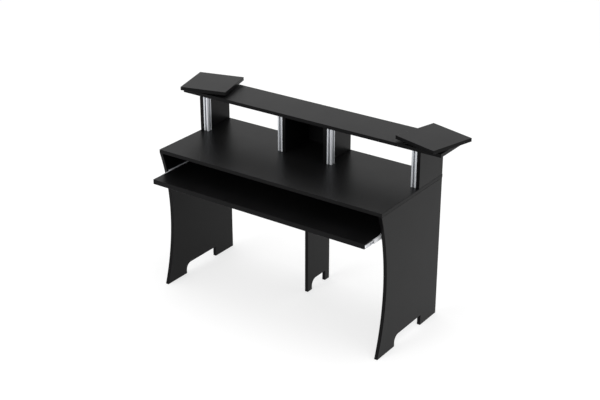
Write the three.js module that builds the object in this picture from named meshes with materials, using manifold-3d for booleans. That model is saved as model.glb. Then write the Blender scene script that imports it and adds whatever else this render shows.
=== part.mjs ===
// Studio desk with a raised rack bridge, a pull-out keyboard tray and two turning speaker platforms.
// Millimetres, +Z up, +X to the sitter's right, +Y towards the back of the desk.
// The origin is on the floor, under the middle of the space that the desk takes with its tray drawn out.

import * as THREE from 'three';
import { mergeVertices } from 'three/addons/utils/BufferGeometryUtils.js';
import Module from 'manifold-3d';

const wasm = await Module();
wasm.setup();

// Boards and gaps
const board = 18;
const trayBoard = 25;
const fit = 0.3;
const overrun = 4;

// Worktop
const worktopWidth = 1285;
const worktopDepth = 540;
const worktopHeight = 748;

// Side panels: the front edge is hollow, an arch leaves two feet, and the worktop hangs over the back
const worktopOverhang = 3;
const sideToe = 3.5;
const sideHollow = 60;
const sideFoot = 150;
const archHeight = 55;
const archRound = 34;

// Centre leg and the rail that joins the two sides behind it
const legDepth = 194;
const legFoot = 38;
const railHeight = 240;

// Rack bridge: two bays for 19-inch equipment and a closed compartment between them
const rackPitch = 465.1;
const rackOpening = 181;
const bridgeDepth = 215.5;
const shelfOverhang = 105;

// Rack posts: slotted square profile with a round core bore
const postSize = 30;
const postSetback = 1.5;
const postCorner = 5;
const slotMouth = 8.2;
const slotLip = 2.4;
const slotWidth = 16;
const slotFloorWidth = 8;
const postCoreWall = 1.7;

// Bolts that hold the posts from under the worktop
const boltRadius = 4;
const boltReach = 16;
const boltHeadRadius = 6.5;
const boltHeadHeight = 8;
const boltSocketRadius = 3.4;
const boltSocketDepth = 4;

// Speaker platforms on their ball bearings
const platformSize = 245;
const platformTurnDegrees = 15.4;
const pivotInset = 102;
const bearingHeight = 8;
const bearingPlate = 96;
const bearingCorner = 8;
const bearingSheet = 1.2;
const bearingBore = 26;
const ballPathRadius = 37.8;
const bearingCageWidth = 1.6;
const bearingCageHeight = 0.9;
const bearingHoleInset = 9;
const bearingHoleRadius = 2.3;
const bearingBalls = 10;

// Keyboard tray, as deep as its slides are long; its photographed place is drawn out by trayDrawn
const trayClearance = 102.5;
const trayDrawn = 126;

// Ball-bearing slides, three members each, seen along their length as heights from the middle
const slideLength = 300;
const slideFront = 40;
const slideSetback = 4;
const slideThickness = 12.7;
const drawerMemberHeight = 12.6;
const slideSheet = 1;
const slideBend = 1.2;
const slideRun = 0.4;
const slideLip = 1.9;
const outerBallRadius = 1.45;
const innerBallRadius = 1.15;
const ballPlay = 0.12;
const cageSheet = 0.5;
const cageLength = 130;
const cageEdge = 9;
const cageBalls = 5;

// Countersunk screws that hold the slides to the side panels
const slideScrewRadius = 1.9;
const slideScrewReach = 15;
const slideScrewHeadRadius = 3.5;
const slideScrewRim = 0.3;
const slideScrewInset = 32;

// Screws that hold the slides to the tray
const screwRadius = 2;
const screwReach = 16;
const screwTip = 3;
const screwHeadRadius = 3.6;
const screwHeadHeight = 2.2;
const screwDriveRadius = 1.6;
const screwDriveDepth = 1.2;
const screwInset = 43;

// Cam connectors: a cam in one board draws in the head of a bolt that is screwed into the other
const camRadius = 7.5;
const camFloor = 1.4;
const camReach = 24;
const camCavityRadius = 4.6;
const camDriveLength = 8;
const camDriveWidth = 1.4;
const camDriveDepth = 2.5;
const connectorHeadRadius = 3;
const connectorHeadLength = 3;
const connectorNeckRadius = 2;
const connectorShankRadius = 3.4;
const connectorThreadRadius = 3;
const connectorThreadReach = 11;
const connectorInset = 70;

// Steps round the curves
const hollowSteps = 30;
const cornerSteps = 6;
const bendSteps = 3;
const roundSteps = 20;
const smallRoundSteps = 12;
const pinSteps = 8;
const ballSteps = 8;
const ballBands = 4;
const hexSides = 6;
const squareSides = 4;

// Places worked out from the sizes
const sideDepth = worktopDepth - worktopOverhang;
const sideHeight = worktopHeight - board - fit;
const innerFace = worktopWidth / 2 - board;
const rackBay = rackPitch + postSize + 2 * fit;
const centreFace = innerFace - rackBay;
const bridgeFront = sideDepth - bridgeDepth;
const bridgeFloor = worktopHeight + fit;
const shelfBottom = worktopHeight + rackOpening;
const shelfTop = shelfBottom + board;
const shelfHalf = worktopWidth / 2 + shelfOverhang;
const bridgeWall = rackOpening - 2 * fit;
const trayTop = worktopHeight - board - trayClearance;
const trayHalf = innerFace - slideThickness;
const trayDepth = slideLength;
const trayClosedFront = slideFront - slideSetback;
const trayFront = trayClosedFront - trayDrawn;
const slideCentre = trayTop - trayBoard / 2;
const platformBottom = shelfTop + bearingHeight;
const pivotX = shelfHalf - pivotInset;
const pivotY = bridgeFront + bridgeDepth / 2;
const platformTurn = THREE.MathUtils.degToRad(platformTurnDegrees);
const platformReach = (Math.cos(platformTurn) + Math.sin(platformTurn)) * platformSize / 2;
const boltRadiusInBoard = boltRadius + fit;
const slotDepth = postSize / 2 - boltRadiusInBoard - postCoreWall;
const bearingBallRadius = bearingHeight / 2 - bearingSheet - 2 * fit;
const cabinetInside = fit + slideSheet;
const camDepth = board / 2 + connectorHeadRadius + 2 * fit + camFloor;

// Finishes
const blackBoard = { color: 0x2b2b2c, roughness: 0.55, metalness: 0 };
const silverRail = { color: 0xb9bcc0, roughness: 0.32, metalness: 1 };
const zincSheet = { color: 0xc4c6c8, roughness: 0.38, metalness: 1 };
const steelBall = { color: 0xd6d8da, roughness: 0.15, metalness: 1 };
const darkSteel = { color: 0x2a2a2c, roughness: 0.45, metalness: 1 };

const sides = [['left', -1], ['right', 1]];
const desk = new THREE.Group();

/** Hangs a named piece with a material of its own on a group. */
function addPiece(group, name, geometry, finish) {
  const piece = new THREE.Mesh(geometry, new THREE.MeshStandardMaterial(finish));
  piece.name = name;
  group.add(piece);
}

/** A closed mesh as a solid that can be joined and cut. */
function toSolid(geometry) {
  const bare = geometry.clone();
  bare.deleteAttribute('normal');
  bare.deleteAttribute('uv');
  const merged = mergeVertices(bare);
  const vertProperties = new Float32Array(merged.attributes.position.array);
  const triVerts = new Uint32Array(merged.index.array);
  return new wasm.Manifold(new wasm.Mesh({ numProp: 3, vertProperties, triVerts }));
}

/** A solid as a mesh with flat normals. */
function toGeometry(solid) {
  const mesh = solid.getMesh();
  const geometry = new THREE.BufferGeometry();
  geometry.setAttribute('position', new THREE.BufferAttribute(new Float32Array(mesh.vertProperties), 3));
  geometry.setIndex(new THREE.BufferAttribute(new Uint32Array(mesh.triVerts), 1));
  geometry.computeVertexNormals();
  return geometry;
}

/** A mesh with the given cutters taken out of it. */
function cut(geometry, cutters) {
  let solid = toSolid(geometry);
  for (const cutter of cutters) {
    solid = solid.subtract(toSolid(cutter));
  }
  return toGeometry(solid);
}

/** Several meshes that overlap, joined into one. */
function join(geometries) {
  let solid = toSolid(geometries[0]);
  for (const extra of geometries.slice(1)) {
    solid = solid.add(toSolid(extra));
  }
  return toGeometry(solid);
}

/** A straight-edged block between two corners. */
function block(low, high) {
  const [x0, y0, z0] = low;
  const [x1, y1, z1] = high;
  const geometry = new THREE.BoxGeometry(x1 - x0, y1 - y0, z1 - z0);
  geometry.translate((x0 + x1) / 2, (y0 + y1) / 2, (z0 + z1) / 2);
  return geometry;
}

const point = (x, y) => new THREE.Vector2(x, y);

/** An outline of points, with holes, drawn out to a depth along its own Z. */
function prism(outline, depth, holes = []) {
  const shape = new THREE.Shape(outline);
  for (const hole of holes) {
    shape.holes.push(new THREE.Path(hole));
  }
  return new THREE.ExtrudeGeometry(shape, { depth, bevelEnabled: false, steps: 1 });
}

/** An outline in Y and Z drawn out along +X from a start. */
function prismAlongX(outline, start, depth) {
  const geometry = prism(outline, depth);
  const alongX = new THREE.Vector3(1, 0, 0);
  const alongY = new THREE.Vector3(0, 1, 0);
  const alongZ = new THREE.Vector3(0, 0, 1);
  geometry.applyMatrix4(new THREE.Matrix4().makeBasis(alongY, alongZ, alongX));
  geometry.translate(start, 0, 0);
  return geometry;
}

/** An outline in X and Z drawn out along +Y from a start. */
function prismAlongY(outline, start, depth) {
  const geometry = prism(outline, depth);
  geometry.rotateX(Math.PI / 2);
  geometry.translate(0, start + depth, 0);
  return geometry;
}

/** Points round a circle's arc, both ends included. */
function arc(centre, radius, from, to, steps) {
  const points = [];
  for (let step = 0; step <= steps; step += 1) {
    const angle = from + ((to - from) * step) / steps;
    points.push(point(centre.x + radius * Math.cos(angle), centre.y + radius * Math.sin(angle)));
  }
  return points;
}

/** A full circle of points. */
function circle(centre, radius, steps) {
  return arc(centre, radius, 0, 2 * Math.PI, steps).slice(0, steps);
}

/** Points from one end to the other of a line that bows to its left by a rise. */
function bowedLine(from, to, rise, steps) {
  const along = to.clone().sub(from);
  const half = along.length() / 2;
  along.normalize();
  const left = point(-along.y, along.x);
  const radius = (half * half + rise * rise) / (2 * rise);
  const middle = from.clone().add(to).divideScalar(2);
  const centre = middle.addScaledVector(left, rise - radius);
  const swing = Math.asin(half / radius);
  const points = [];
  for (let step = 0; step <= steps; step += 1) {
    const angle = swing * ((2 * step) / steps - 1);
    const place = centre.clone().addScaledVector(left, radius * Math.cos(angle));
    points.push(place.addScaledVector(along, radius * Math.sin(angle)));
  }
  return points;
}

/** The foot arch from front to back: a round front shoulder and a square rear one. */
function footArch(front, rear) {
  const shoulder = point(front + archRound, archHeight - archRound);
  return [
    point(front, 0),
    ...arc(shoulder, archRound, Math.PI, Math.PI / 2, cornerSteps),
    point(rear, archHeight),
    point(rear, 0),
  ];
}

/** A line of points with each inner corner rounded by a bend radius. */
function roundedLine(corners, radius) {
  const line = [corners[0]];
  for (let index = 1; index < corners.length - 1; index += 1) {
    const corner = corners[index];
    const back = corners[index - 1].clone().sub(corner).normalize();
    const ahead = corners[index + 1].clone().sub(corner).normalize();
    const halfAngle = Math.acos(back.dot(ahead)) / 2;
    const bisector = back.clone().add(ahead).normalize();
    const centre = corner.clone().addScaledVector(bisector, radius / Math.sin(halfAngle));
    const start = corner.clone().addScaledVector(back, radius / Math.tan(halfAngle)).sub(centre);
    const side = Math.sign(back.cross(ahead));
    const swing = -side * (Math.PI - 2 * halfAngle);
    for (let step = 0; step <= bendSteps; step += 1) {
      const swung = start.clone().rotateAround(point(0, 0), (swing * step) / bendSteps);
      line.push(swung.add(centre));
    }
  }
  line.push(corners[corners.length - 1]);
  return line;
}

/** A bent strip: a centre line of points thickened by half a sheet to both sides. */
function bentStrip(line, sheet) {
  const leftSide = [];
  const rightSide = [];
  line.forEach((here, index) => {
    const before = line[Math.max(index - 1, 0)];
    const after = line[Math.min(index + 1, line.length - 1)];
    const arriving = (index > 0 ? here.clone().sub(before) : after.clone().sub(here)).normalize();
    const leaving = (index < line.length - 1 ? after.clone().sub(here) : arriving.clone()).normalize();
    const mitre = point(-arriving.y - leaving.y, arriving.x + leaving.x).normalize();
    const stretch = sheet / 2 / mitre.dot(point(-arriving.y, arriving.x));
    leftSide.push(here.clone().addScaledVector(mitre, stretch));
    rightSide.push(here.clone().addScaledVector(mitre, -stretch));
  });
  return [...rightSide, ...leftSide.reverse()];
}

/** A round cutter or pin along X, from a start to an end. */
function roundBar(radius, from, to, y, z) {
  const bar = new THREE.CylinderGeometry(radius, radius, Math.abs(to - from), smallRoundSteps);
  bar.rotateZ(Math.PI / 2);
  bar.translate((from + to) / 2, y, z);
  return bar;
}

/** A round cutter or pin along Z, from a start to an end. */
function uprightBar(radius, from, to) {
  const bar = new THREE.CylinderGeometry(radius, radius, to - from, smallRoundSteps);
  bar.rotateX(Math.PI / 2);
  bar.translate(0, 0, (from + to) / 2);
  return bar;
}

/** A shape carried from a frame of its own to its place on the desk. */
function carried(geometry, frame) {
  return geometry.clone().applyMatrix4(frame);
}

/** A connector's frame: +Z leaves the edge bore for the other board, +X goes in at the cam's face. */
function connectorFrame(mouth, inwards, toOther) {
  const across = toOther.clone().cross(inwards);
  return new THREE.Matrix4().makeBasis(inwards, across, toOther).setPosition(mouth);
}

/** Every cam connector: the board that holds its cam, the one that takes its bolt's thread, and its frame. */
function connectorTable() {
  const up = new THREE.Vector3(0, 0, 1);
  const back = new THREE.Vector3(0, 1, 0);
  const table = [];
  for (const [side, sign] of sides) {
    const outwards = new THREE.Vector3(sign, 0, 0);
    const panelMiddle = sign * (innerFace + board / 2);
    for (const [place, y] of [['front', connectorInset], ['rear', sideDepth - connectorInset]]) {
      table.push({
        camName: `worktop_cam_${side}_${place}`,
        boltName: `worktop_cam_bolt_${side}_${place}`,
        holder: `side_panel_${side}`,
        other: 'worktop',
        frame: connectorFrame(new THREE.Vector3(panelMiddle, y, sideHeight), outwards, up),
      });
    }
    const railEnd = sign * (innerFace - fit);
    const railMouth = new THREE.Vector3(railEnd, sideDepth - board / 2, sideHeight - railHeight / 2);
    table.push({
      camName: `rail_cam_${side}`,
      boltName: `rail_cam_bolt_${side}`,
      holder: 'back_rail',
      other: `side_panel_${side}`,
      frame: connectorFrame(railMouth, back, outwards),
    });
  }
  return table;
}

const connectors = connectorTable();

/** The bores that one board has for its connectors. */
function connectorBores(boardName) {
  const face = -board / 2;
  const camBore = roundBar(camRadius, face - overrun, face + camDepth, 0, -camReach);
  const edgeBore = uprightBar(connectorShankRadius + fit, -camReach, overrun);
  const threadBore = uprightBar(connectorThreadRadius + fit, -overrun, connectorThreadReach + fit);
  const bores = [];
  for (const { holder, other, frame } of connectors) {
    if (holder === boardName) {
      bores.push(carried(camBore, frame), carried(edgeBore, frame));
    }
    if (other === boardName) {
      bores.push(carried(threadBore, frame));
    }
  }
  return bores;
}

/** A connector's cam: a disc with a cavity for the bolt's head, a slit for its neck, an entry and a drive. */
function camGeometry() {
  const radius = camRadius - fit;
  const face = fit - board / 2;
  const end = camDepth - fit - board / 2;
  const headRoom = connectorHeadRadius + fit;
  const neckRoom = connectorNeckRadius + fit;
  const centre = point(0, -camReach);
  const lead = Math.asin(neckRoom / camCavityRadius);
  const slit = [centre, ...arc(centre, radius + overrun, Math.PI / 2 - lead, Math.PI, cornerSteps)];
  const halfLong = camDriveLength / 2;
  const halfWide = camDriveWidth / 2;
  const driveFloor = face + camDriveDepth;
  return cut(roundBar(radius, face, end, centre.x, centre.y), [
    prismAlongX(circle(centre, camCavityRadius, smallRoundSteps), -headRoom, 2 * headRoom),
    prismAlongX(slit, -neckRoom, 2 * neckRoom),
    block([-headRoom, -radius - overrun, -camReach - headRoom], [headRoom, 0, -camReach + headRoom]),
    block([face - overrun, -halfLong, -camReach - halfWide], [driveFloor, halfLong, -camReach + halfWide]),
    block([face - overrun, -halfWide, -camReach - halfLong], [driveFloor, halfWide, -camReach + halfLong]),
  ]);
}

/** A connector's bolt: a head in the cam, a neck through its slit, a shank in the edge bore and a thread. */
function connectorBolt() {
  const seat = Math.sqrt((camCavityRadius - fit) ** 2 - connectorHeadRadius ** 2) - camReach;
  const rim = camRadius + fit - camReach;
  const profile = [
    point(0, seat - connectorHeadLength),
    point(connectorHeadRadius, seat - connectorHeadLength),
    point(connectorHeadRadius, seat),
    point(connectorNeckRadius, seat),
    point(connectorNeckRadius, rim),
    point(connectorShankRadius, rim),
    point(connectorShankRadius, 0),
    point(connectorThreadRadius, 0),
    point(connectorThreadRadius, connectorThreadReach),
    point(0, connectorThreadReach),
  ];
  const bolt = new THREE.LatheGeometry(profile, pinSteps);
  bolt.rotateX(Math.PI / 2);
  return bolt;
}

/** The cams and bolts of all the connectors. */
function addConnectors() {
  const cam = camGeometry();
  const bolt = connectorBolt();
  for (const { camName, boltName, frame } of connectors) {
    addPiece(desk, camName, carried(cam, frame), zincSheet);
    addPiece(desk, boltName, carried(bolt, frame), darkSteel);
  }
}

/** Where the slides' screws stand along Y. */
const slideScrewPlaces = [
  ['front', slideFront + slideScrewInset],
  ['rear', slideFront + slideLength - slideScrewInset],
];

/** A countersunk screw's profile, with its flat head at zero, or its bore's with room and an open mouth. */
function countersunkProfile(room, mouth) {
  const length = slideScrewReach + cabinetInside;
  const cone = slideScrewHeadRadius - slideScrewRadius;
  return [
    point(0, -length - room),
    point(slideScrewRadius + room, screwTip - length),
    point(slideScrewRadius + room, -slideScrewRim - cone),
    point(slideScrewHeadRadius + room, -slideScrewRim),
    point(slideScrewHeadRadius + room, mouth),
    point(0, mouth),
  ];
}

/** A shape of the slides' screws, turned into one side panel at each screw's place. */
function atSlideScrews(shape, sign) {
  shape.rotateZ((sign * Math.PI) / 2);
  return slideScrewPlaces.map(([place, y]) => {
    const placed = shape.clone();
    placed.translate(sign * (innerFace - cabinetInside), y, slideCentre);
    return [place, placed];
  });
}

/** The countersunk bores through one slide's cabinet member into its side panel. */
function slideScrewBores(sign) {
  const bore = new THREE.LatheGeometry(countersunkProfile(fit, overrun), smallRoundSteps);
  return atSlideScrews(bore, sign).map(([, placed]) => placed);
}

/** The cutter of a screw's square drive, sunk into a head whose top is at a height. */
function squareDrive(top) {
  const depth = 2 * screwDriveDepth;
  const drive = new THREE.CylinderGeometry(screwDriveRadius, screwDriveRadius, depth, squareSides);
  drive.translate(0, top, 0);
  return drive;
}

/** The screws that hold one slide to its side panel, flush with the cabinet member. */
function addSlideScrews(side, sign) {
  const pin = new THREE.LatheGeometry(countersunkProfile(0, 0), pinSteps);
  const screw = cut(pin, [squareDrive(0)]);
  for (const [place, placed] of atSlideScrews(screw, sign)) {
    addPiece(desk, `slide_screw_${side}_${place}`, placed, darkSteel);
  }
}

/** Both side panels, hollow at the front, arched at the foot and bored for connectors and slides. */
function addSides() {
  const archFront = sideFoot - sideToe;
  const outline = [
    ...bowedLine(point(0, sideHeight), point(-sideToe, 0), sideHollow, hollowSteps),
    ...footArch(archFront, sideDepth - sideFoot),
    point(sideDepth, 0),
    point(sideDepth, sideHeight),
  ];
  for (const [side, sign] of sides) {
    const name = `side_panel_${side}`;
    const panel = prismAlongX(outline, sign > 0 ? innerFace : -innerFace - board, board);
    const bores = [...connectorBores(name), ...slideScrewBores(sign)];
    addPiece(desk, name, cut(panel, bores), blackBoard);
  }
}

/** The narrow leg under the middle of the worktop, notched over the back rail. */
function addLegAndRail() {
  const front = sideDepth - legDepth;
  const railFront = sideDepth - board;
  const railBottom = sideHeight - railHeight;
  const outline = [
    point(front, sideHeight),
    point(front, 0),
    ...footArch(front + legFoot, sideDepth - legFoot),
    point(sideDepth, 0),
    point(sideDepth, railBottom - fit),
    point(railFront - fit, railBottom - fit),
    point(railFront - fit, sideHeight),
  ];
  addPiece(desk, 'centre_leg', prismAlongX(outline, -board / 2, board), blackBoard);
  const railHalf = innerFace - fit;
  const rail = block([-railHalf, railFront, railBottom], [railHalf, sideDepth, sideHeight]);
  addPiece(desk, 'back_rail', cut(rail, connectorBores('back_rail')), blackBoard);
}

const postCentres = [
  ['left_outer', -innerFace + fit + postSize / 2],
  ['left_inner', -centreFace - fit - postSize / 2],
  ['right_inner', centreFace + fit + postSize / 2],
  ['right_outer', innerFace - fit - postSize / 2],
];
const postY = bridgeFront + postSetback + postSize / 2;

/** The worktop, with a hole for each post's bolt and bores for the side panels' connectors. */
function addWorktop() {
  const half = worktopWidth / 2;
  const outline = [
    point(-half, 0),
    point(half, 0),
    point(half, worktopDepth),
    point(-half, worktopDepth),
  ];
  const holes = postCentres.map(([, x]) => circle(point(x, postY), boltRadiusInBoard, smallRoundSteps));
  const worktop = prism(outline, board, holes);
  worktop.translate(0, 0, worktopHeight - board);
  addPiece(desk, 'worktop', cut(worktop, connectorBores('worktop')), blackBoard);
}

/** The upright boards, the compartment's back and the long shelf of the rack bridge. */
function addBridge() {
  const top = bridgeFloor + bridgeWall;
  const uprights = [
    ['upper_panel_left', -innerFace - board],
    ['centre_panel_left', -centreFace],
    ['centre_panel_right', centreFace - board],
    ['upper_panel_right', innerFace],
  ];
  for (const [name, x] of uprights) {
    addPiece(desk, name, block([x, bridgeFront, bridgeFloor], [x + board, sideDepth, top]), blackBoard);
  }
  const backHalf = centreFace - board - fit;
  const back = block([-backHalf, sideDepth - board, bridgeFloor], [backHalf, sideDepth, top]);
  addPiece(desk, 'compartment_back', back, blackBoard);
  const shelf = block([-shelfHalf, bridgeFront, shelfBottom], [shelfHalf, sideDepth, shelfTop]);
  addPiece(desk, 'upper_shelf', shelf, blackBoard);
}

/** The post's outline: four round lobes with an undercut slot between each two. */
function postOutline() {
  const half = postSize / 2;
  const corner = half - postCorner;
  const outline = [];
  for (let side = 0; side < squareSides; side += 1) {
    const quarter = [
      ...arc(point(corner, corner), postCorner, 0, Math.PI / 2, cornerSteps),
      point(slotMouth / 2, half),
      point(slotMouth / 2, half - slotLip),
      point(slotWidth / 2, half - slotLip),
      point(slotFloorWidth / 2, half - slotDepth),
      point(-slotFloorWidth / 2, half - slotDepth),
      point(-slotWidth / 2, half - slotLip),
      point(-slotMouth / 2, half - slotLip),
      point(-slotMouth / 2, half),
    ];
    const turn = (side * Math.PI) / 2;
    outline.push(...quarter.map((place) => place.rotateAround(point(0, 0), turn)));
  }
  return outline;
}

/** The four rack posts and the bolts that hold them through the worktop. */
function addPosts() {
  const bore = circle(point(0, 0), boltRadiusInBoard, smallRoundSteps);
  const headTop = worktopHeight - board - fit;
  const tip = worktopHeight + boltReach;
  const boltProfile = [
    point(0, headTop - boltHeadHeight),
    point(boltHeadRadius, headTop - boltHeadHeight),
    point(boltHeadRadius, headTop),
    point(boltRadius, headTop),
    point(boltRadius, tip),
    point(0, tip),
  ];
  for (const [name, x] of postCentres) {
    const post = prism(postOutline(), bridgeWall, [bore]);
    post.translate(x, postY, bridgeFloor);
    addPiece(desk, `rack_post_${name}`, post, silverRail);

    const bolt = new THREE.LatheGeometry(boltProfile, smallRoundSteps);
    bolt.rotateX(Math.PI / 2);
    const depth = 2 * boltSocketDepth;
    const socket = new THREE.CylinderGeometry(boltSocketRadius, boltSocketRadius, depth, hexSides);
    socket.rotateX(Math.PI / 2);
    socket.translate(0, 0, headTop - boltHeadHeight);
    const socketed = cut(bolt, [socket]);
    socketed.translate(x, postY, 0);
    addPiece(desk, `post_bolt_${name}`, socketed, darkSteel);
  }
}

/** A square sheet plate with round corners, a centre opening and four screw holes. */
function bearingPlateSheet(bottom) {
  const half = bearingPlate / 2;
  const corner = half - bearingCorner;
  const outline = [];
  const holes = [circle(point(0, 0), bearingBore, roundSteps)];
  for (let side = 0; side < squareSides; side += 1) {
    const turn = (side * Math.PI) / 2;
    const round = arc(point(corner, corner), bearingCorner, 0, Math.PI / 2, cornerSteps);
    outline.push(...round.map((place) => place.rotateAround(point(0, 0), turn)));
    const hole = point(half - bearingHoleInset, half - bearingHoleInset);
    holes.push(circle(hole.rotateAround(point(0, 0), turn), bearingHoleRadius, cornerSteps));
  }
  const plate = prism(outline, bearingSheet, holes);
  plate.translate(0, 0, bottom);
  return plate;
}

/** A ring wall turned about Z. */
function ringWall(innerRadius, outerRadius, bottom, top) {
  const profile = [
    point(innerRadius, bottom),
    point(outerRadius, bottom),
    point(outerRadius, top),
    point(innerRadius, top),
    point(innerRadius, bottom),
  ];
  const ring = new THREE.LatheGeometry(profile, roundSteps);
  ring.rotateX(Math.PI / 2);
  return ring;
}

/** A bearing ball. */
function ball(radius, x, y, z) {
  const sphere = new THREE.SphereGeometry(radius, ballSteps, ballBands);
  sphere.rotateX(Math.PI / 2);
  sphere.translate(x, y, z);
  return sphere;
}

/** One speaker platform and its ball bearing, whose outer wall's flat facets clear the balls. */
function addPlatform(side, sign) {
  const floor = shelfTop + fit;
  const ceiling = platformBottom - fit;
  const ballHeight = (floor + ceiling) / 2;
  const innerWall = ballPathRadius - bearingBallRadius - fit;
  const outerWall = (ballPathRadius + bearingBallRadius + fit) / Math.cos(Math.PI / roundSteps);
  const wallEnd = bearingBallRadius / 2;

  const still = new THREE.Group();
  still.position.set(sign * pivotX, pivotY, 0);
  desk.add(still);
  const basePlate = bearingPlateSheet(floor);
  const baseWall = ringWall(innerWall - bearingSheet, innerWall, floor, ballHeight + wallEnd);
  addPiece(still, `bearing_base_${side}`, join([basePlate, baseWall]), zincSheet);

  const cageInner = ballPathRadius - bearingCageWidth / 2;
  const cageBottom = ballHeight - bearingCageHeight / 2;
  const cageTop = cageBottom + bearingCageHeight;
  const pieces = [ringWall(cageInner, cageInner + bearingCageWidth, cageBottom, cageTop)];
  for (let count = 0; count < bearingBalls; count += 1) {
    const turn = (count * 2 * Math.PI) / bearingBalls;
    const along = point(ballPathRadius, 0).rotateAround(point(0, 0), turn);
    pieces.push(ball(bearingBallRadius, along.x, along.y, ballHeight));
  }
  addPiece(still, `bearing_balls_${side}`, join(pieces), steelBall);

  const turning = new THREE.Group();
  turning.position.copy(still.position);
  turning.rotation.z = -sign * platformTurn;
  desk.add(turning);
  const topPlate = bearingPlateSheet(ceiling - bearingSheet);
  const topWall = ringWall(outerWall, outerWall + bearingSheet, ballHeight - wallEnd, ceiling);
  addPiece(turning, `bearing_top_${side}`, join([topPlate, topWall]), zincSheet);
  const half = platformSize / 2;
  const platform = block([-half, -half, platformBottom], [half, half, platformBottom + board]);
  addPiece(turning, `speaker_platform_${side}`, platform, blackBoard);
}

/** Where the tray's screws stand along Y. */
const trayScrewPlaces = [
  ['front', trayFront + slideSetback + screwInset],
  ['rear', trayFront + trayDepth - slideSetback - screwInset],
];

/** The tray's board between its two slides, drilled at its ends for the screws. */
function addTray() {
  const low = [-trayHalf, trayFront, trayTop - trayBoard];
  const high = [trayHalf, trayFront + trayDepth, trayTop];
  const drills = [];
  for (const sign of [-1, 1]) {
    for (const [, y] of trayScrewPlaces) {
      const from = sign * (trayHalf + overrun);
      const to = sign * (trayHalf - screwReach - fit);
      drills.push(roundBar(screwRadius + fit, from, to, y, slideCentre));
    }
  }
  addPiece(desk, 'keyboard_tray', cut(block(low, high), drills), blackBoard);
}

/** The screws of one slide in the tray: a pan head with a square drive and a pointed shank. */
function addTrayScrews(side, sign) {
  const headSeat = slideThickness - fit - slideSheet - fit;
  const shank = screwReach + slideThickness - headSeat;
  const profile = [
    point(0, 0),
    point(screwHeadRadius, 0),
    point(screwHeadRadius, screwHeadHeight / 2),
    point(screwHeadRadius - screwHeadHeight / 2, screwHeadHeight),
    point(0, screwHeadHeight),
  ];
  const shankProfile = [
    point(0, -shank),
    point(screwRadius, screwTip - shank),
    point(screwRadius, screwHeadHeight / 2),
    point(0, screwHeadHeight / 2),
  ];
  const head = new THREE.LatheGeometry(profile, smallRoundSteps);
  const pin = new THREE.LatheGeometry(shankProfile, smallRoundSteps);
  const screw = cut(join([head, pin]), [squareDrive(screwHeadHeight)]);
  screw.rotateZ((-sign * Math.PI) / 2);
  for (const [place, y] of trayScrewPlaces) {
    const placed = screw.clone();
    placed.translate(sign * (innerFace - headSeat), y, slideCentre);
    addPiece(desk, `tray_screw_${side}_${place}`, placed, darkSteel);
  }
}

/** A bent strip of one slide, placed against the left or the right side panel. */
function slideStrip(corners, sheet, sign, start, length) {
  const placed = corners.map(([reach, height]) => point(sign * (innerFace - reach), slideCentre + height));
  const outline = bentStrip(roundedLine(placed, slideBend), sheet);
  return prismAlongY(sign > 0 ? outline.reverse() : outline, start, length);
}

/** A channel with its web at one reach and its flanges' lips at another, open to the tray. */
function channel(web, tip, flange) {
  return [
    [tip, flange - slideLip],
    [tip, flange],
    [web, flange],
    [web, -flange],
    [tip, -flange],
    [tip, -flange + slideLip],
  ];
}

/** A ball cage: a thin channel with a row of balls along each flange. */
function ballCage(web, flange, tip, radius, sign, start) {
  const corners = [[tip, flange], [web, flange], [web, -flange], [tip, -flange]];
  const pieces = [slideStrip(corners, cageSheet, sign, start, cageLength)];
  const pitch = (cageLength - 2 * cageEdge) / (cageBalls - 1);
  for (let count = 0; count < cageBalls; count += 1) {
    for (const height of [flange, -flange]) {
      const x = sign * (innerFace - tip + radius);
      const y = start + cageEdge + count * pitch;
      pieces.push(ball(radius - ballPlay, x, y, slideCentre + height));
    }
  }
  return join(pieces);
}

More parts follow.
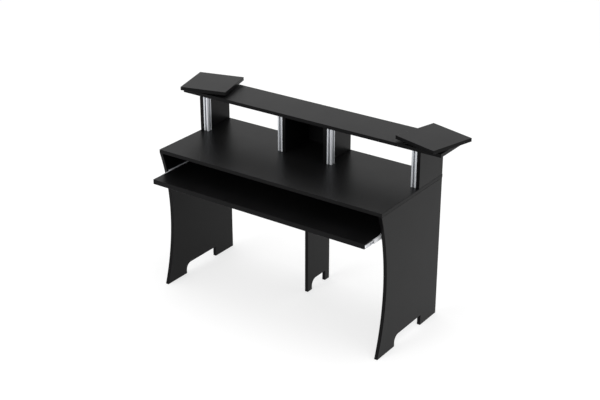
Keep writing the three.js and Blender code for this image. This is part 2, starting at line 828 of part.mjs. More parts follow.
/** One three-member slide with its two ball cages, drawn out as far as the tray. */
function addSlide(side, sign) {
  const half = slideSheet / 2;
  const cabinetWeb = fit + half;
  const outerCageWeb = cabinetWeb + half + slideRun + cageSheet / 2;
  const middleWeb = outerCageWeb + cageSheet / 2 + slideRun + half;
  const innerCageWeb = middleWeb + half + slideRun + cageSheet / 2;
  const drawerTip = innerCageWeb + cageSheet / 2 + slideRun;
  const drawerWeb = slideThickness - fit - half;
  const drawerFlange = drawerMemberHeight / 2 - half;
  const innerCageFlange = drawerFlange + half + innerBallRadius;
  const middleFlange = innerCageFlange + innerBallRadius + half;
  const outerCageFlange = middleFlange + half + outerBallRadius;
  const cabinetFlange = outerCageFlange + outerBallRadius + half;
  const tip = drawerWeb - slideRun - half;
  const cageTip = tip - half - slideRun;

  const halfDrawn = trayDrawn / 2;
  const quarterDrawn = trayDrawn / 4;
  const cageStart = slideFront + (slideLength - cageLength) / 2;

  const cabinet = channel(cabinetWeb, tip, cabinetFlange);
  const cabinetStrip = slideStrip(cabinet, slideSheet, sign, slideFront, slideLength);
  addPiece(desk, `slide_cabinet_member_${side}`, cut(cabinetStrip, slideScrewBores(sign)), zincSheet);

  const outerStart = cageStart - quarterDrawn;
  const outerCage = ballCage(outerCageWeb, outerCageFlange, cageTip, outerBallRadius, sign, outerStart);
  addPiece(desk, `slide_outer_balls_${side}`, outerCage, steelBall);

  const middle = channel(middleWeb, tip, middleFlange);
  const middleMember = slideStrip(middle, slideSheet, sign, slideFront - halfDrawn, slideLength);
  addPiece(desk, `slide_middle_member_${side}`, middleMember, zincSheet);

  const innerStart = cageStart - halfDrawn - quarterDrawn;
  const innerCage = ballCage(innerCageWeb, innerCageFlange, cageTip, innerBallRadius, sign, innerStart);
  addPiece(desk, `slide_inner_balls_${side}`, innerCage, steelBall);

  const drawer = [
    [drawerTip, drawerFlange],
    [drawerWeb, drawerFlange],
    [drawerWeb, -drawerFlange],
    [drawerTip, -drawerFlange],
  ];
  const start = trayFront + slideSetback;
  const rail = slideStrip(drawer, slideSheet, sign, start, trayDepth - 2 * slideSetback);
  const near = sign * (innerFace - drawerTip);
  const far = sign * (innerFace - drawerWeb - half);
  const tabLow = [Math.min(near, far), start, slideCentre - drawerFlange - half];
  const tabHigh = [Math.max(near, far), start + slideSheet, slideCentre + drawerFlange + half];
  const webSpan = [drawerWeb - overrun, drawerWeb + overrun].map((reach) => sign * (innerFace - reach));
  const holes = trayScrewPlaces.map(([, y]) => roundBar(screwRadius + fit, ...webSpan, y, slideCentre));
  const drawerMember = cut(join([rail, block(tabLow, tabHigh)]), holes);
  addPiece(desk, `slide_drawer_member_${side}`, drawerMember, zincSheet);
}

addSides();
addLegAndRail();
addWorktop();
addBridge();
addPosts();
addTray();
addConnectors();
for (const [side, sign] of sides) {
  addSlide(side, sign);
  addSlideScrews(side, sign);
  addTrayScrews(side, sign);
  addPlatform(side, sign);
}
desk.position.y = -(trayFront + pivotY + platformReach) / 2;

export default desk;
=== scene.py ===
"""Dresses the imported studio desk: banded boards, slotted posts, ball slides and turning platforms."""

import logging
import math
from dataclasses import dataclass
from enum import Enum

import bmesh
import bpy
from mathutils import Matrix, Vector


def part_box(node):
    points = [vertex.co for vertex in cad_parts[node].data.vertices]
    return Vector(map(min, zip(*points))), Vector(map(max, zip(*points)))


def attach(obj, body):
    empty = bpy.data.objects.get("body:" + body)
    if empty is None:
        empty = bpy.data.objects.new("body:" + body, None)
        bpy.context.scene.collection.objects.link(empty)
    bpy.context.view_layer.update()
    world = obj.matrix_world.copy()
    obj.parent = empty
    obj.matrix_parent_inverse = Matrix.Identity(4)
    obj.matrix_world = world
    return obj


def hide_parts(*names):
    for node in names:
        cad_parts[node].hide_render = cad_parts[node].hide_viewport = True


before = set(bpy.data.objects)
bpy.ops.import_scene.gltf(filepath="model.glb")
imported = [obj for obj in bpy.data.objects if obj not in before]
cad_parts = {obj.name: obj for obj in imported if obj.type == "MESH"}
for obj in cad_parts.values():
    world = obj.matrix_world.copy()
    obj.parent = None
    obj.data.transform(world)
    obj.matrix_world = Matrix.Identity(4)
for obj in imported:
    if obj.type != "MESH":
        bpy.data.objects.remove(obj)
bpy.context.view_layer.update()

log = logging.getLogger("studio_desk")

ENDS = ("front", "rear")
POSTS = ("left_outer", "left_inner", "right_inner", "right_outer")

Mesh = bpy.types.Mesh
Material = bpy.types.Material
Socket = bpy.types.NodeSocket
Colour = tuple[float, float, float]
Outline = list[tuple[float, float]]
Corner = tuple[float, float, float]
Row = tuple[float, float, float]


class Axis(Enum):
    """A row axis, as the number of its coordinate."""

    X = 0
    Y = 1
    Z = 2


class Side(Enum):
    """A side of the desk, as the sign of its X."""

    LEFT = -1
    RIGHT = 1

    @property
    def word(self) -> str:
        """The side's name as the nodes write it."""
        return self.name.lower()


class Drive(Enum):
    """The recess that turns a screw."""

    CROSS = "cross"
    HEXAGON = "hexagon"


class Layout(Enum):
    """How a pattern's copies lie, as the names of the inputs that say so."""

    ROW = ("Count", "Pitch")
    RING = ("Count", "Radius", "Spin", "Seed")


class NodeSheet:
    """A short way to write the nodes of a material, a world or a node group."""

    noise_middle = 0.5
    noise_reach = 0.25

    def __init__(self, owner: bpy.types.ID) -> None:
        """Empties the owner's nodes.

        Args:
            owner: the material, world or node group.
        """
        self.tree = owner
        if hasattr(owner, "use_nodes"):
            owner.use_nodes = True
            self.tree = owner.node_tree
        self.tree.nodes.clear()

    def add(self, kind: str, inputs: dict | None = None, **options: object) -> bpy.types.Node:
        """Adds a node.

        Args:
            kind: the node's Blender type.
            inputs: what goes into it, by name or number: a value, or the output that is linked.
            options: its settings, such as an operation.

        Returns:
            The new node.
        """
        node = self.tree.nodes.new(kind)
        for name, value in options.items():
            setattr(node, name, value)
        for key, value in (inputs or {}).items():
            if isinstance(value, Socket):
                self.tree.links.new(value, node.inputs[key])
            else:
                node.inputs[key].default_value = value
        return node

    def noise(self, feature: float, detail: float, stretch: Vector = Vector((1, 1, 1))) -> Socket:
        """Noise on object coordinates.

        Args:
            feature: the size of its blotches in metres.
            detail: how many finer layers it has.
            stretch: how much closer it lies along each axis.

        Returns:
            The noise, from 0 to 1.
        """
        place = self.add("ShaderNodeTexCoord").outputs["Object"]
        stretched = self.add("ShaderNodeMapping", {"Vector": place, "Scale": stretch}).outputs[0]
        inputs = {"Vector": stretched, "Scale": 1 / feature, "Detail": detail}
        return self.add("ShaderNodeTexNoise", inputs).outputs["Fac"]

    def swung(self, noise: Socket, middle: float = 0.5, swing: float = 0.5) -> Socket:
        """Noise brought to a range round a middle, from 0 to 1 if none is named.

        Args:
            noise: the noise.
            middle: the middle of the range.
            swing: how far the range reaches to both sides.

        Returns:
            The value, cut off at the range's ends.
        """
        inputs = {
            "Value": noise,
            "From Min": self.noise_middle - self.noise_reach,
            "From Max": self.noise_middle + self.noise_reach,
            "To Min": middle - swing,
            "To Max": middle + swing,
        }
        return self.add("ShaderNodeMapRange", inputs).outputs["Result"]

    def bump(self, height: Socket, depth: float, strength: float) -> Socket:
        """A relief of a depth in metres, as a normal."""
        inputs = {"Height": height, "Distance": depth, "Strength": strength}
        return self.add("ShaderNodeBump", inputs).outputs["Normal"]

    def surface(self, tones: tuple[Colour, Colour], cloud: Socket, inputs: dict) -> None:
        """Ends a material with its shader.

        Args:
            tones: the colours where the cloud is lowest and highest.
            cloud: the noise between them.
            inputs: what else goes into the shader.
        """
        mixed = {"Factor": self.swung(cloud), "A": (*tones[0], 1), "B": (*tones[1], 1)}
        colour = self.add("ShaderNodeMix", mixed, data_type="RGBA").outputs["Result"]
        shader = self.add("ShaderNodeBsdfPrincipled", {"Base Color": colour, **inputs})
        self.add("ShaderNodeOutputMaterial", {"Surface": shader.outputs["BSDF"]})

    def seen(self) -> Socket:
        """Tells the rays that show a thing as it looks from those that only light the desk.

        Returns:
            1 for rays of the camera, gloss and glass, and 0 for the rest.
        """
        rays = self.add("ShaderNodeLightPath").outputs
        share = rays["Is Camera Ray"]
        for kind in ("Is Glossy Ray", "Is Transmission Ray"):
            share = self.add("ShaderNodeMath", {0: share, 1: rays[kind]}, operation="MAXIMUM").outputs[0]
        return share


@dataclass(frozen=True)
class BoardFinish:
    """Black melamine or its edge banding: near-black, with a fine pearl relief and a faint sheen."""

    name: str
    colour: Colour = (0.004, 0.004, 0.0042)
    colour_swing: float = 0.2
    roughness: float = 0.355
    roughness_swing: float = 0.02
    sheen_level: float = 0.107
    pearl: float = 0.0009
    pearl_detail: float = 2.0
    pearl_depth: float = 0.00001
    pearl_strength: float = 0.3
    cloud: float = 0.11
    cloud_detail: float = 4.0

    def build(self) -> Material:
        """Writes the finish's nodes.

        Returns:
            The material.
        """
        material = bpy.data.materials.new(self.name)
        sheet = NodeSheet(material)
        cloud = sheet.noise(self.cloud, self.cloud_detail)
        pearl = sheet.noise(self.pearl, self.pearl_detail)
        dark = tuple(part * (1 - self.colour_swing) for part in self.colour)
        pale = tuple(part * (1 + self.colour_swing) for part in self.colour)
        inputs = {
            "Roughness": sheet.swung(cloud, self.roughness, self.roughness_swing),
            "Specular IOR Level": self.sheen_level,
            "Normal": sheet.bump(pearl, self.pearl_depth, self.pearl_strength),
        }
        sheet.surface((dark, pale), cloud, inputs)
        return material


@dataclass(frozen=True)
class DrawnMetalFinish:
    """Bare or plated metal with fine lines along the way that it was drawn or rolled."""

    name: str
    drawn_along: Axis
    shade: Colour
    colour: Colour
    roughness: float
    roughness_swing: float = 0.05
    metallic: float = 1.0
    line: float = 0.0005
    line_length_share: float = 0.008
    line_detail: float = 3.0
    line_depth: float = 0.000004
    line_strength: float = 0.25
    cloud: float = 0.02
    cloud_detail: float = 4.0

    def build(self) -> Material:
        """Writes the finish's nodes.

        Returns:
            The material.
        """
        material = bpy.data.materials.new(self.name)
        sheet = NodeSheet(material)
        stretch = Vector((1, 1, 1))
        stretch[self.drawn_along.value] = self.line_length_share
        lines = sheet.noise(self.line, self.line_detail, stretch)
        inputs = {
            "Roughness": sheet.swung(lines, self.roughness, self.roughness_swing),
            "Metallic": self.metallic,
            "Normal": sheet.bump(lines, self.line_depth, self.line_strength),
        }
        sheet.surface((self.shade, self.colour), sheet.noise(self.cloud, self.cloud_detail), inputs)
        return material


class Finish(Enum):
    """Every finish of the desk."""

    FACE = BoardFinish("melamine_face")
    BAND = BoardFinish(
        "edge_band", (0.0034, 0.0034, 0.0036), roughness=0.3, sheen_level=0.075, pearl=0.0005
    )
    ALUMINIUM = DrawnMetalFinish(
        "anodised_aluminium", Axis.Z, (0.66, 0.68, 0.71), (0.70, 0.72, 0.75),
        roughness=0.45, roughness_swing=0.03, metallic=0.6, line_strength=0.06,
    )
    # Darker aluminium for the faces inside the post slots: painted shade in the recesses.
    SLOT_ALUMINIUM = DrawnMetalFinish(
        "slot_aluminium", Axis.Z, (0.46, 0.48, 0.51), (0.52, 0.54, 0.57), roughness=0.5, line_strength=0.1
    )
    ZINC = DrawnMetalFinish(
        "zinc_plated_sheet", Axis.Y, (0.84, 0.85, 0.88), (0.92, 0.93, 0.95),
        roughness=0.32, metallic=0.3, line_strength=0.15,
    )
    BALL = DrawnMetalFinish(
        "polished_ball", Axis.Y, (0.76, 0.76, 0.77), (0.8, 0.8, 0.81),
        roughness=0.1, roughness_swing=0.03, line_strength=0.05,
    )
    CAGE = DrawnMetalFinish(
        "ball_cage_sheet", Axis.Y, (0.32, 0.30, 0.28), (0.42, 0.40, 0.37), roughness=0.38
    )
    BLACK_STEEL = DrawnMetalFinish(
        "blackened_steel", Axis.Y, (0.03, 0.03, 0.033), (0.05, 0.05, 0.055),
        roughness=0.4, metallic=0.8, line_strength=0.15,
    )

    @property
    def material(self) -> Material:
        """The finish's material, written when it is first asked for."""
        return bpy.data.materials.get(self.value.name) or self.value.build()


class Bench:
    """What pieces go through on their way from a mesh to the desk."""

    merge = 1e-7
    sharp_angle = math.radians(40)

    @staticmethod
    def piece(data: bpy.types.ID, name: str = "work") -> bpy.types.Object:
        """Puts a mesh or other data in the scene as an object at the origin.

        Args:
            data: the mesh, curve, lamp or camera.
            name: the object's name.

        Returns:
            The object.
        """
        made = bpy.data.objects.new(name, data)
        bpy.context.scene.collection.objects.link(made)
        return made

    @staticmethod
    def baked(made: bpy.types.Object) -> Mesh:
        """An object's evaluated shape as a plain mesh."""
        graph = bpy.context.evaluated_depsgraph_get()
        return bpy.data.meshes.new_from_object(made.evaluated_get(graph))

    @staticmethod
    def written(shape: bmesh.types.BMesh, *finishes: Finish) -> Mesh:
        """Writes a shape to a mesh and frees it.

        Args:
            shape: the shape.
            finishes: the finishes that its faces number.

        Returns:
            The mesh.
        """
        mesh = bpy.data.meshes.new("shape")
        shape.to_mesh(mesh)
        shape.free()
        for finish in finishes:
            mesh.materials.append(finish.material)
        return mesh

    @staticmethod
    def closed(shape: bmesh.types.BMesh) -> Mesh:
        """Writes a shape with its doubles merged and its faces pointing out.

        Args:
            shape: the shape, which is freed.

        Returns:
            The mesh.
        """
        bmesh.ops.remove_doubles(shape, verts=shape.verts, dist=Bench.merge)
        bmesh.ops.recalc_face_normals(shape, faces=shape.faces)
        return Bench.written(shape)

    @staticmethod
    def dressed(mesh: Mesh, finish: Finish) -> Mesh:
        """Gives a whole mesh one finish.

        Args:
            mesh: the mesh.
            finish: its finish.

        Returns:
            The same mesh.
        """
        mesh.materials.clear()
        mesh.materials.append(finish.material)
        return mesh

    @staticmethod
    def gathered(*parts: tuple[Mesh, Matrix, Finish]) -> Mesh:
        """Several meshes as one.

        Args:
            parts: each mesh, where it goes and its finish.

        Returns:
            The gathered mesh.
        """
        shape = bmesh.new()
        for number, (part, place, _) in enumerate(parts):
            placed = part.copy()
            placed.transform(place)
            placed.materials.clear()
            before = len(shape.faces)
            shape.from_mesh(placed)
            shape.faces.ensure_lookup_table()
            for face in shape.faces[before:]:
                face.material_index = number
            bpy.data.meshes.remove(placed)
        return Bench.written(shape, *(finish for _, _, finish in parts))

    @staticmethod
    def combined(mesh: Mesh, others: list[Mesh], operation: str = "DIFFERENCE") -> Mesh:
        """A mesh with others cut out of it or welded to it.

        Args:
            mesh: the mesh that is worked on.
            others: closed meshes in the same place.
            operation: DIFFERENCE to cut, UNION to weld.

        Returns:
            The worked mesh.
        """
        made = Bench.piece(mesh)
        tools = [Bench.piece(other) for other in others]
        for tool in tools:
            boolean = made.modifiers.new("boolean", "BOOLEAN")
            boolean.object = tool
            boolean.operation = operation
            boolean.solver = "EXACT"
        worked = Bench.baked(made)
        for used in (made, *tools):
            bpy.data.objects.remove(used)
        return worked

    @staticmethod
    def finish(name: str, mesh: Mesh, body: str, slot: str, *nodes: str) -> None:
        """Smooths a mesh's shading round its flats and hangs it on its body.

        Args:
            name: the piece's name.
            mesh: its mesh, with its finish and in its place.
            body: the body that it rides on.
            slot: the record's material slot; not used.
            nodes: the nodes that it stands for.
        """
        made = Bench.piece(mesh, name)
        mesh.shade_smooth()
        mesh.set_sharp_from_angle(angle=Bench.sharp_angle)
        weighted = made.modifiers.new("weighted", "WEIGHTED_NORMAL")
        weighted.keep_sharp = True
        made.data = Bench.baked(made)
        made.modifiers.clear()
        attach(made, body)
        if nodes:
            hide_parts(*nodes)
        log.info("%s: %d faces on %s", name, len(made.data.polygons), body)


class Form:
    """Shapes that a workshop makes: cut outlines, bent sheet and turned pieces."""

    @staticmethod
    def rounded(corners: list[Corner], steps: int = 6) -> Outline:
        """A closed outline whose corners are rounded by radii of their own.

        Args:
            corners: each corner's two coordinates and its radius.
            steps: how many stretches each round has.

        Returns:
            The outline's points.
        """
        line: Outline = []
        for index, (x, y, radius) in enumerate(corners):
            if radius <= 0:
                line.append((x, y))
                continue
            here = Vector((x, y))
            back = (Vector(corners[index - 1][:2]) - here).normalized()
            ahead = (Vector(corners[(index + 1) % len(corners)][:2]) - here).normalized()
            half = math.acos(max(-1.0, min(1.0, back.dot(ahead)))) / 2
            centre = here + (back + ahead).normalized() * (radius / math.sin(half))
            start = here + back * (radius / math.tan(half)) - centre
            way = math.copysign(1.0, back.x * ahead.y - back.y * ahead.x)
            for step in range(steps + 1):
                swing = -way * (math.pi - 2 * half) * step / steps
                line.append(tuple(centre + Matrix.Rotation(swing, 2) @ start))
        return line

    @staticmethod
    def circle(x: float, y: float, radius: float, steps: int = 24) -> Outline:
        """The points round a circle."""
        turns = [2 * math.pi * step / steps for step in range(steps)]
        return [(x + radius * math.cos(turn), y + radius * math.sin(turn)) for turn in turns]

    @staticmethod
    def sheet(line: Outline, thickness: float, bend: float, steps: int = 5) -> Outline:
        """The section of a bent sheet.

        Args:
            line: the corners of the sheet's middle line.
            thickness: the sheet's thickness.
            bend: the radius of the middle line's bends.
            steps: how many stretches each bend has.

        Returns:
            The closed section.
        """
        sides: tuple[list[Corner], list[Corner]] = ([], [])
        for index, place in enumerate(line):
            here = Vector(place)
            before = here - Vector(line[index - 1]) if index else None
            after = Vector(line[index + 1]) - here if index < len(line) - 1 else None
            arriving = (before or after).normalized()
            leaving = (after or before).normalized()
            way = arriving + leaving
            mitre = Vector((-way.y, way.x)).normalized()
            stretch = thickness / 2 / mitre.dot(Vector((-arriving.y, arriving.x)))
            turn = arriving.x * leaving.y - arriving.y * leaving.x
            for side, sign in zip(sides, (1, -1)):
                radius = bend - sign * math.copysign(thickness / 2, turn) if turn else 0.0
                corner = here + mitre * (sign * stretch)
                side.append((corner.x, corner.y, radius))
        return Form.rounded(sides[1] + sides[0][::-1], steps)

    @staticmethod
    def prism(outline: Outline, low: float, high: float, holes: tuple[Outline, ...] = ()) -> Mesh:
        """A closed solid on an outline with holes.

        Args:
            outline: the outer outline.
            low: where it starts along Z.
            high: where it ends along Z.
            holes: the outlines of its holes.

        Returns:
            The mesh.
        """
        curve = bpy.data.curves.new("outline", "CURVE")
        curve.dimensions = "2D"
        curve.fill_mode = "BOTH"
        curve.extrude = (high - low) / 2
        for ring in (outline, *holes):
            spline = curve.splines.new("POLY")
            spline.points.add(len(ring) - 1)
            for place, (x, y) in zip(spline.points, ring):
                place.co = (x, y, 0, 1)
            spline.use_cyclic_u = True
        drawn = Bench.piece(curve)
        flat = Bench.baked(drawn)
        bpy.data.objects.remove(drawn)
        bpy.data.curves.remove(curve)
        flat.transform(Matrix.Translation((0, 0, (low + high) / 2)))
        shape = bmesh.new()
        shape.from_mesh(flat)
        bpy.data.meshes.remove(flat)
        return Bench.closed(shape)

    @staticmethod
    def cross(length: float, width: float, low: float, high: float) -> list[Mesh]:
        """The two cutters of a cross recess."""
        bars = ((length / 2, width / 2), (width / 2, length / 2))
        return [Form.prism([(-x, -y), (x, -y), (x, y), (-x, y)], low, high) for x, y in bars]

    @staticmethod
    def turned(rows: list[Row], steps: int = 32, pitch: float = 1.0, is_ring: bool = False) -> Mesh:
        """A piece turned about Z, with a thread where a row has a ridge.

        Args:
            rows: each turn's radius, height and thread depth, in order along the profile.
            steps: how many stretches a turn has.
            pitch: the thread's pitch.
            is_ring: whether the last row joins the first.

        Returns:
            The mesh.
        """
        shape = bmesh.new()
        rings = []
        for radius, height, ridge in rows:
            if radius == 0:
                rings.append([shape.verts.new((0, 0, height))])
                continue
            ring = []
            for step in range(steps):
                share = step / steps
                wave = abs((height / pitch - share) % 1.0 * 2 - 1)
                reach = radius + ridge * wave
                angle = 2 * math.pi * share
                place = (reach * math.cos(angle), reach * math.sin(angle), height)
                ring.append(shape.verts.new(place))
            rings.append(ring)
        following = rings[1:] + rings[:1] if is_ring else rings[1:]
        for first, second in zip(rings, following):
            for step in range(steps):
                after = (step + 1) % steps
                quad = [
                    first[step % len(first)],
                    first[after % len(first)],
                    second[after % len(second)],
                    second[step % len(second)],
                ]
                shape.faces.new(list(dict.fromkeys(quad)))
        return Bench.closed(shape)

    @staticmethod
    def bar(radius: float, low: float, high: float, steps: int = 24) -> Mesh:
        """A round bar along Z from a low to a high end."""
        return Form.turned([(0, low, 0), (radius, low, 0), (radius, high, 0), (0, high, 0)], steps)

    @staticmethod
    def sphere(radius: float, bands: int = 12) -> Mesh:
        """A ball round the origin.

        Args:
            radius: its radius.
            bands: how many bands it has from pole to pole.

        Returns:
            The mesh.
        """
        turns = [math.pi * band / bands for band in range(1, bands)]
        rows = [(radius * math.sin(turn), -radius * math.cos(turn), 0) for turn in turns]
        return Form.turned([(0, -radius, 0), *rows, (0, radius, 0)], 2 * bands)

    @staticmethod
    def thread(low: float, high: float, depth: float, pitch: float) -> list[tuple[float, float]]:
        """The rows of a thread that runs out at both ends.

        Args:
            low: where it starts.
            high: where it ends.
            depth: its depth.
            pitch: its pitch.

        Returns:
            Each row's height and thread depth.
        """
        rows_per_pitch = 6
        count = math.ceil((high - low) / pitch * rows_per_pitch)
        rows = []
        for index in range(count + 1):
            edge = min(1.0, index / rows_per_pitch, (count - index) / rows_per_pitch)
            rows.append((low + (high - low) * index / count, depth * edge))
        return rows


def node_box(name: str) -> tuple[Vector, Vector]:
    """A node's lowest and highest corners at rest."""
    low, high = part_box(name)
    return Vector(low), Vector(high)


def node_end(name: str, towards: Vector) -> tuple[Vector, float]:
    """A node's end that lies towards a way.

    Args:
        name: the node.
        towards: the way, along a row axis.

    Returns:
        The middle of that end's face, and the node's length along the way.
    """
    low, high = node_box(name)
    length = abs((high - low).dot(towards))
    return (low + high) / 2 + towards * length / 2, length


def frame_at(origin: Vector, up: Vector, ahead: Vector) -> Matrix:
    """A place whose Z axis points up and whose X axis points ahead.

    Args:
        origin: the place's origin.
        up: its Z axis.
        ahead: its X axis, square to up.

    Returns:
        The matrix from that place to the desk.
    """
    columns = (ahead, up.cross(ahead), up, origin)
    rows = [[column[index] for column in columns] for index in range(3)]
    return Matrix((*rows, (0, 0, 0, 1)))


class Pattern:
    """Geometry Nodes that repeat one item, with each layout's tree built once."""

    kinds = {
        "Item": "NodeSocketGeometry",
        "Count": "NodeSocketInt",
        "Pitch": "NodeSocketVector",
        "Radius": "NodeSocketFloat",
        "Spin": "NodeSocketFloat",
        "Seed": "NodeSocketInt",
        "Finish": "NodeSocketMaterial",
    }
    trees: dict[Layout, bpy.types.NodeTree] = {}

    @classmethod
    def tree(cls, layout: Layout) -> bpy.types.NodeTree:
        """A layout's tree: an item is copied, turned by chance in a ring, made real and finished.

        Args:
            layout: how the copies lie.

        Returns:
            The tree, with the layout's sizes as named inputs.
        """
        if layout in cls.trees:
            return cls.trees[layout]
        tree = bpy.data.node_groups.new(layout.name.lower(), "GeometryNodeTree")
        for title in ("Item", *layout.value, "Finish"):
            tree.interface.new_socket(title, in_out="INPUT", socket_type=cls.kinds[title])
        tree.interface.new_socket("Shape", in_out="OUTPUT", socket_type=cls.kinds["Item"])
        sheet = NodeSheet(tree)
        given = sheet.add("NodeGroupInput").outputs
        copies = {"Instance": given["Item"]}
        if layout is Layout.ROW:
            line = {"Count": given["Count"], "Offset": given["Pitch"]}
            copies["Points"] = sheet.add("GeometryNodeMeshLine", line).outputs[0]
        else:
            ring = {"Vertices": given["Count"], "Radius": given["Radius"]}
            copies["Points"] = sheet.add("GeometryNodeMeshCircle", ring).outputs[0]
            chance = sheet.add("FunctionNodeRandomValue", {"Max": given["Spin"], "Seed": given["Seed"]})
            turn = sheet.add("ShaderNodeCombineXYZ", {"Z": chance.outputs["Value"]})
            copies["Rotation"] = sheet.add("FunctionNodeEulerToRotation", {0: turn.outputs[0]}).outputs[0]
        placed = sheet.add("GeometryNodeInstanceOnPoints", copies)
        real = sheet.add("GeometryNodeRealizeInstances", {0: placed.outputs[0]})
        finish = {"Geometry": real.outputs[0], "Material": given["Finish"]}
        sheet.add("NodeGroupOutput", {0: sheet.add("GeometryNodeSetMaterial", finish).outputs[0]})
        cls.trees[layout] = tree
        return tree

    @classmethod
    def laid(cls, item: Mesh, layout: Layout, **values: object) -> Mesh:
        """Runs a layout on an item.

        Args:
            item: the mesh that is repeated.
            layout: how its copies lie.
            values: the tree's inputs by name.

        Returns:
            The mesh of all the copies.
        """
        holder = Bench.piece(item)
        modifier = holder.modifiers.new("pattern", "NODES")
        modifier.node_group = cls.tree(layout)
        for socket in modifier.node_group.interface.items_tree:
            if socket.name in values:
                modifier[socket.identifier] = values[socket.name]
        mesh = Bench.baked(holder)
        holder.modifiers.clear()
        bpy.data.objects.remove(holder)
        return mesh


@dataclass
class Board:
    """A melamine-faced board with banded edges, made from its own solid."""

    node: str
    body: str
    edge_round: float = 0.0011
    edge_steps: int = 3
    edge_profile: float = 0.5
    merge: float = 0.00001
    smallest_face: float = 0.0001
    shortest_edge: float = 0.003
    sharp_angle: float = math.radians(30)
    flat_angle: float = math.radians(0.2)
    flat_share: float = 0.999

    def is_outer_corner(self, edge: bmesh.types.BMEdge) -> bool:
        """Whether an edge runs along the board's outline, not along a bore.

        Args:
            edge: one of the board's edges.

        Returns:
            True for an edge that is rounded.
        """
        return (
            len(edge.link_faces) == 2
            and edge.calc_length() > self.shortest_edge
            and edge.calc_face_angle() > self.sharp_angle
            and min(face.calc_area() for face in edge.link_faces) > self.smallest_face
        )

    def build(self) -> None:
        """Makes the board, with the band on every face but the two across its thickness."""
        shape = bmesh.new()
        shape.from_mesh(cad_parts[self.node].data)
        bmesh.ops.remove_doubles(shape, verts=shape.verts, dist=self.merge)
        bmesh.ops.dissolve_limit(
            shape, angle_limit=self.flat_angle, verts=shape.verts, edges=shape.edges
        )
        corners = [edge for edge in shape.edges if self.is_outer_corner(edge)]
        bmesh.ops.bevel(
            shape, geom=corners, affect="EDGES", offset=self.edge_round, offset_type="OFFSET",
            segments=self.edge_steps, profile=self.edge_profile, clamp_overlap=True,
        )
        low, high = node_box(self.node)
        size = high - low
        thin = list(size).index(min(size))
        for face in shape.faces:
            face.material_index = 0 if abs(face.normal[thin]) > self.flat_share else 1
        mesh = Bench.written(shape, Finish.FACE, Finish.BAND)
        Bench.finish(f"{self.node}_board", mesh, self.body, "black_board", self.node)


@dataclass
class Carcass:
    """The boards that stand still."""

    body: str = "carcass"
    boards: tuple[str, ...] = (
        "worktop", "side_panel_left", "side_panel_right", "centre_leg", "back_rail",
        "upper_panel_left", "upper_panel_right", "centre_panel_left", "centre_panel_right",
        "compartment_back", "upper_shelf",
    )

    def build(self) -> None:
        """Makes every fixed board."""
        for node in self.boards:
            Board(node, self.body).build()


@dataclass
class KeyboardTray:
    """The pull-out tray."""

    body: str = "tray"

    def build(self) -> None:
        """Makes the tray's board."""
        Board("keyboard_tray", self.body).build()


@dataclass
class Fastener:
    """A threaded screw or bolt, with its head's top at zero and its tip below."""

    head: list[Row]
    radius: float
    tip_taper: float = 0.003
    blunt_share: float = 0.25
    thread_depth: float = 0.00045
    thread_pitch: float = 0.0017
    thread_start: float = 0.001
    drive: Drive = Drive.CROSS
    drive_radius: float = 0.0019
    drive_depth: float = 0.0012
    drive_width: float = 0.0007
    steps: int = 20

    def recess(self) -> list[Mesh]:
        """The cutters of the drive, which reach out of the head's top.

        Returns:
            Closed meshes.
        """
        low, high = -self.drive_depth, self.drive_depth
        if self.drive is Drive.HEXAGON:
            return [Form.bar(self.drive_radius, low, high, steps=6)]
        return Form.cross(2 * self.drive_radius, self.drive_width, low, high)

    def mesh(self, length: float) -> Mesh:
        """The fastener round Z.

        Args:
            length: its whole length.

        Returns:
            The mesh.
        """
        base = self.head[0][1]
        core = self.radius - self.thread_depth
        blunt = core * self.blunt_share
        thread = Form.thread(-length, base - self.thread_start, self.thread_depth, self.thread_pitch)
        rows: list[Row] = [(0, -length, 0)]
        for height, ridge in thread:
            taper = min(1.0, (height + length) / self.tip_taper) if self.tip_taper else 1.0
            rows.append((blunt + (core - blunt) * taper, height, ridge))
        rows += [(self.radius, base - self.thread_start / 2, 0), *self.head]
        return Bench.combined(Form.turned(rows, self.steps, self.thread_pitch), self.recess())

    def build(self, node: str, body: str, towards: Vector, turn: float) -> None:
        """Makes the fastener in place of its solid.

        Args:
            node: the solid's node.
            body: the body that it rides on.
            towards: the way that the head looks, along a row axis.
            turn: how far the drive is turned.
        """
        top, length = node_end(node, towards)
        side = Vector((0, 1, 0)) if towards.z else Vector((0, 0, 1))
        mesh = self.mesh(length)
        mesh.transform(frame_at(top, towards, side) @ Matrix.Rotation(turn, 4, "Z"))
        mesh = Bench.dressed(mesh, Finish.BLACK_STEEL)
        Bench.finish(f"{node}_threaded", mesh, body, "dark_steel", node)


